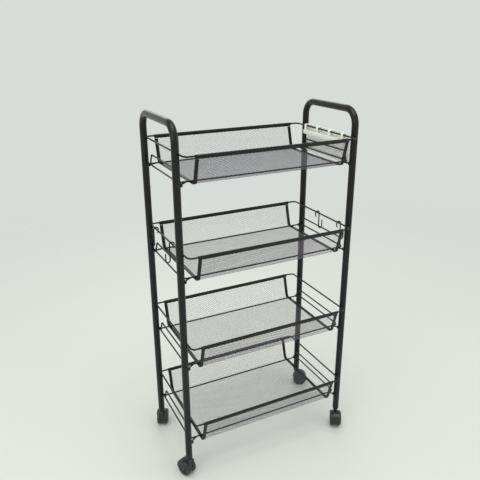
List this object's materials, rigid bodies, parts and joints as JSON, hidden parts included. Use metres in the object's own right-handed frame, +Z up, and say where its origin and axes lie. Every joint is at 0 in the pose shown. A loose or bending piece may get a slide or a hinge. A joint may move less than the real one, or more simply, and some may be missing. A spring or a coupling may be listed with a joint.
{
  "type": "rolling wire basket cart",
  "caption": "Tall slim cart of open mesh basket tiers between two bent-tube end frames, on swivel casters, with wire hooks and a clip-on side caddy.",
  "frame": {"origin": "on the floor, at the middle of the four posts", "axes": "+X along the cart's length towards the caddy's end, +Y to the back, +Z up"},
  "size_m": [0.4867, 0.2706, 0.85],
  "materials": {
    "frame_enamel": "gloss black powder coat",
    "wire_enamel": "gloss black powder coat",
    "mesh_enamel": "semi-gloss black powder coat on expanded metal",
    "band_enamel": "semi-gloss black powder coat on folded sheet",
    "screw_steel": "black zinc",
    "stem_steel": "dark turned steel",
    "socket_plastic": "moulded black nylon",
    "fork_plastic": "moulded black nylon, satin",
    "wheel_plastic": "moulded black nylon, worn satin tread",
    "caddy_plastic": "satin white moulding"
  },
  "bodies": {
    "cart": {"frame_left": "frame_enamel", "frame_right": "frame_enamel", "post_plugs": "socket_plastic", "caster_stems": "stem_steel", "tier1_rim_ring": "wire_enamel", "tier1_lower_ring": "wire_enamel", "tier1_end_loops": "wire_enamel", "tier1_mesh": "mesh_enamel", "tier1_rim_front": "band_enamel", "tier1_rim_back": "band_enamel", "tier1_end_strips": "band_enamel", "tier1_screws": "screw_steel", "tier2_rim_ring": "wire_enamel", "tier2_lower_ring": "wire_enamel", "tier2_end_loops": "wire_enamel", "tier2_mesh": "mesh_enamel", "tier2_rim_front": "band_enamel", "tier2_rim_back": "band_enamel", "tier2_end_strips": "band_enamel", "tier2_screws": "screw_steel", "tier3_rim_ring": "wire_enamel", "tier3_lower_ring": "wire_enamel", "tier3_end_loops": "wire_enamel", "tier3_mesh": "mesh_enamel", "tier3_rim_front": "band_enamel", "tier3_rim_back": "band_enamel", "tier3_end_strips": "band_enamel", "tier3_screws": "screw_steel", "tier4_rim_ring": "wire_enamel", "tier4_lower_ring": "wire_enamel", "tier4_end_loops": "wire_enamel", "tier4_mesh": "mesh_enamel", "tier4_rim_front": "band_enamel", "tier4_rim_back": "band_enamel", "tier4_end_strips": "band_enamel", "tier4_screws": "screw_steel"},
    "caster_fl": {"caster_fl_fork": "fork_plastic", "caster_fl_axle": "stem_steel"},
    "wheel_fl_a": {"caster_fl_wheel_a": "wheel_plastic"},
    "wheel_fl_b": {"caster_fl_wheel_b": "wheel_plastic"},
    "caster_fr": {"caster_fr_fork": "fork_plastic", "caster_fr_axle": "stem_steel"},
    "wheel_fr_a": {"caster_fr_wheel_a": "wheel_plastic"},
    "wheel_fr_b": {"caster_fr_wheel_b": "wheel_plastic"},
    "caster_br": {"caster_br_fork": "fork_plastic", "caster_br_axle": "stem_steel"},
    "wheel_br_a": {"caster_br_wheel_a": "wheel_plastic"},
    "wheel_br_b": {"caster_br_wheel_b": "wheel_plastic"},
    "caster_bl": {"caster_bl_fork": "fork_plastic", "caster_bl_axle": "stem_steel"},
    "wheel_bl_a": {"caster_bl_wheel_a": "wheel_plastic"},
    "wheel_bl_b": {"caster_bl_wheel_b": "wheel_plastic"},
    "hook_left_back": {"hook_left_back": "wire_enamel"},
    "hook_left_front": {"hook_left_front": "wire_enamel"},
    "hook_right_back": {"hook_right_back": "wire_enamel"},
    "hook_right_front": {"hook_right_front": "wire_enamel"},
    "side_caddy": {"side_caddy": "caddy_plastic"}
  },
  "joints": [
    {"name": "caster_fl_swivel", "type": "hinge", "parent": "cart", "child": "caster_fl", "pos_m": [-0.2133, -0.1005, 0.04], "axis": [0, 0, 1], "continuous": true},
    {"name": "wheel_fl_a_spin", "type": "hinge", "parent": "caster_fl", "child": "wheel_fl_a", "pos_m": [-0.21688, -0.09116, 0.01875], "axis": [-0.9336, -0.3584, 0], "continuous": true},
    {"name": "wheel_fl_b_spin", "type": "hinge", "parent": "caster_fl", "child": "wheel_fl_b", "pos_m": [-0.21688, -0.09116, 0.01875], "axis": [-0.9336, -0.3584, 0], "continuous": true},
    {"name": "caster_fr_swivel", "type": "hinge", "parent": "cart", "child": "caster_fr", "pos_m": [0.2133, -0.1005, 0.04], "axis": [0, 0, 1], "continuous": true},
    {"name": "wheel_fr_a_spin", "type": "hinge", "parent": "caster_fr", "child": "wheel_fr_a", "pos_m": [0.208, -0.10898, 0.01875], "axis": [0.848, -0.5299, 0], "continuous": true},
    {"name": "wheel_fr_b_spin", "type": "hinge", "parent": "caster_fr", "child": "wheel_fr_b", "pos_m": [0.208, -0.10898, 0.01875], "axis": [0.848, -0.5299, 0], "continuous": true},
    {"name": "caster_br_swivel", "type": "hinge", "parent": "cart", "child": "caster_br", "pos_m": [0.2133, 0.1005, 0.04], "axis": [0, 0, 1], "continuous": true},
    {"name": "wheel_br_a_spin", "type": "hinge", "parent": "caster_br", "child": "wheel_br_a", "pos_m": [0.22213, 0.09581, 0.01875], "axis": [0.4695, 0.8829, 0], "continuous": true},
    {"name": "wheel_br_b_spin", "type": "hinge", "parent": "caster_br", "child": "wheel_br_b", "pos_m": [0.22213, 0.09581, 0.01875], "axis": [0.4695, 0.8829, 0], "continuous": true},
    {"name": "caster_bl_swivel", "type": "hinge", "parent": "cart", "child": "caster_bl", "pos_m": [-0.2133, 0.1005, 0.04], "axis": [0, 0, 1], "continuous": true},
    {"name": "wheel_bl_a_spin", "type": "hinge", "parent": "caster_bl", "child": "wheel_bl_a", "pos_m": [-0.20892, 0.10949, 0.01875], "axis": [-0.8988, 0.4384, 0], "continuous": true},
    {"name": "wheel_bl_b_spin", "type": "hinge", "parent": "caster_bl", "child": "wheel_bl_b", "pos_m": [-0.20892, 0.10949, 0.01875], "axis": [-0.8988, 0.4384, 0], "continuous": true},
    {"name": "hook_left_back_swing", "type": "hinge", "parent": "cart", "child": "hook_left_back", "pos_m": [-0.2033, 0.0845, 0.57247], "axis": [0, 1, 0], "range_deg": [-3, 160]},
    {"name": "hook_left_front_swing", "type": "hinge", "parent": "cart", "child": "hook_left_front", "pos_m": [-0.2033, -0.0237, 0.57247], "axis": [0, 1, 0], "range_deg": [-3, 160]},
    {"name": "hook_right_back_swing", "type": "hinge", "parent": "cart", "child": "hook_right_back", "pos_m": [0.2033, 0.0148, 0.57247], "axis": [0, -1, 0], "range_deg": [-3, 160]},
    {"name": "hook_right_front_swing", "type": "hinge", "parent": "cart", "child": "hook_right_front", "pos_m": [0.2033, -0.076, 0.57247], "axis": [0, -1, 0], "range_deg": [-3, 160]},
    {"name": "side_caddy_lift", "type": "slide", "parent": "cart", "child": "side_caddy", "axis": [0, 0, 1], "range_m": [0, 0.026]}
  ]
}
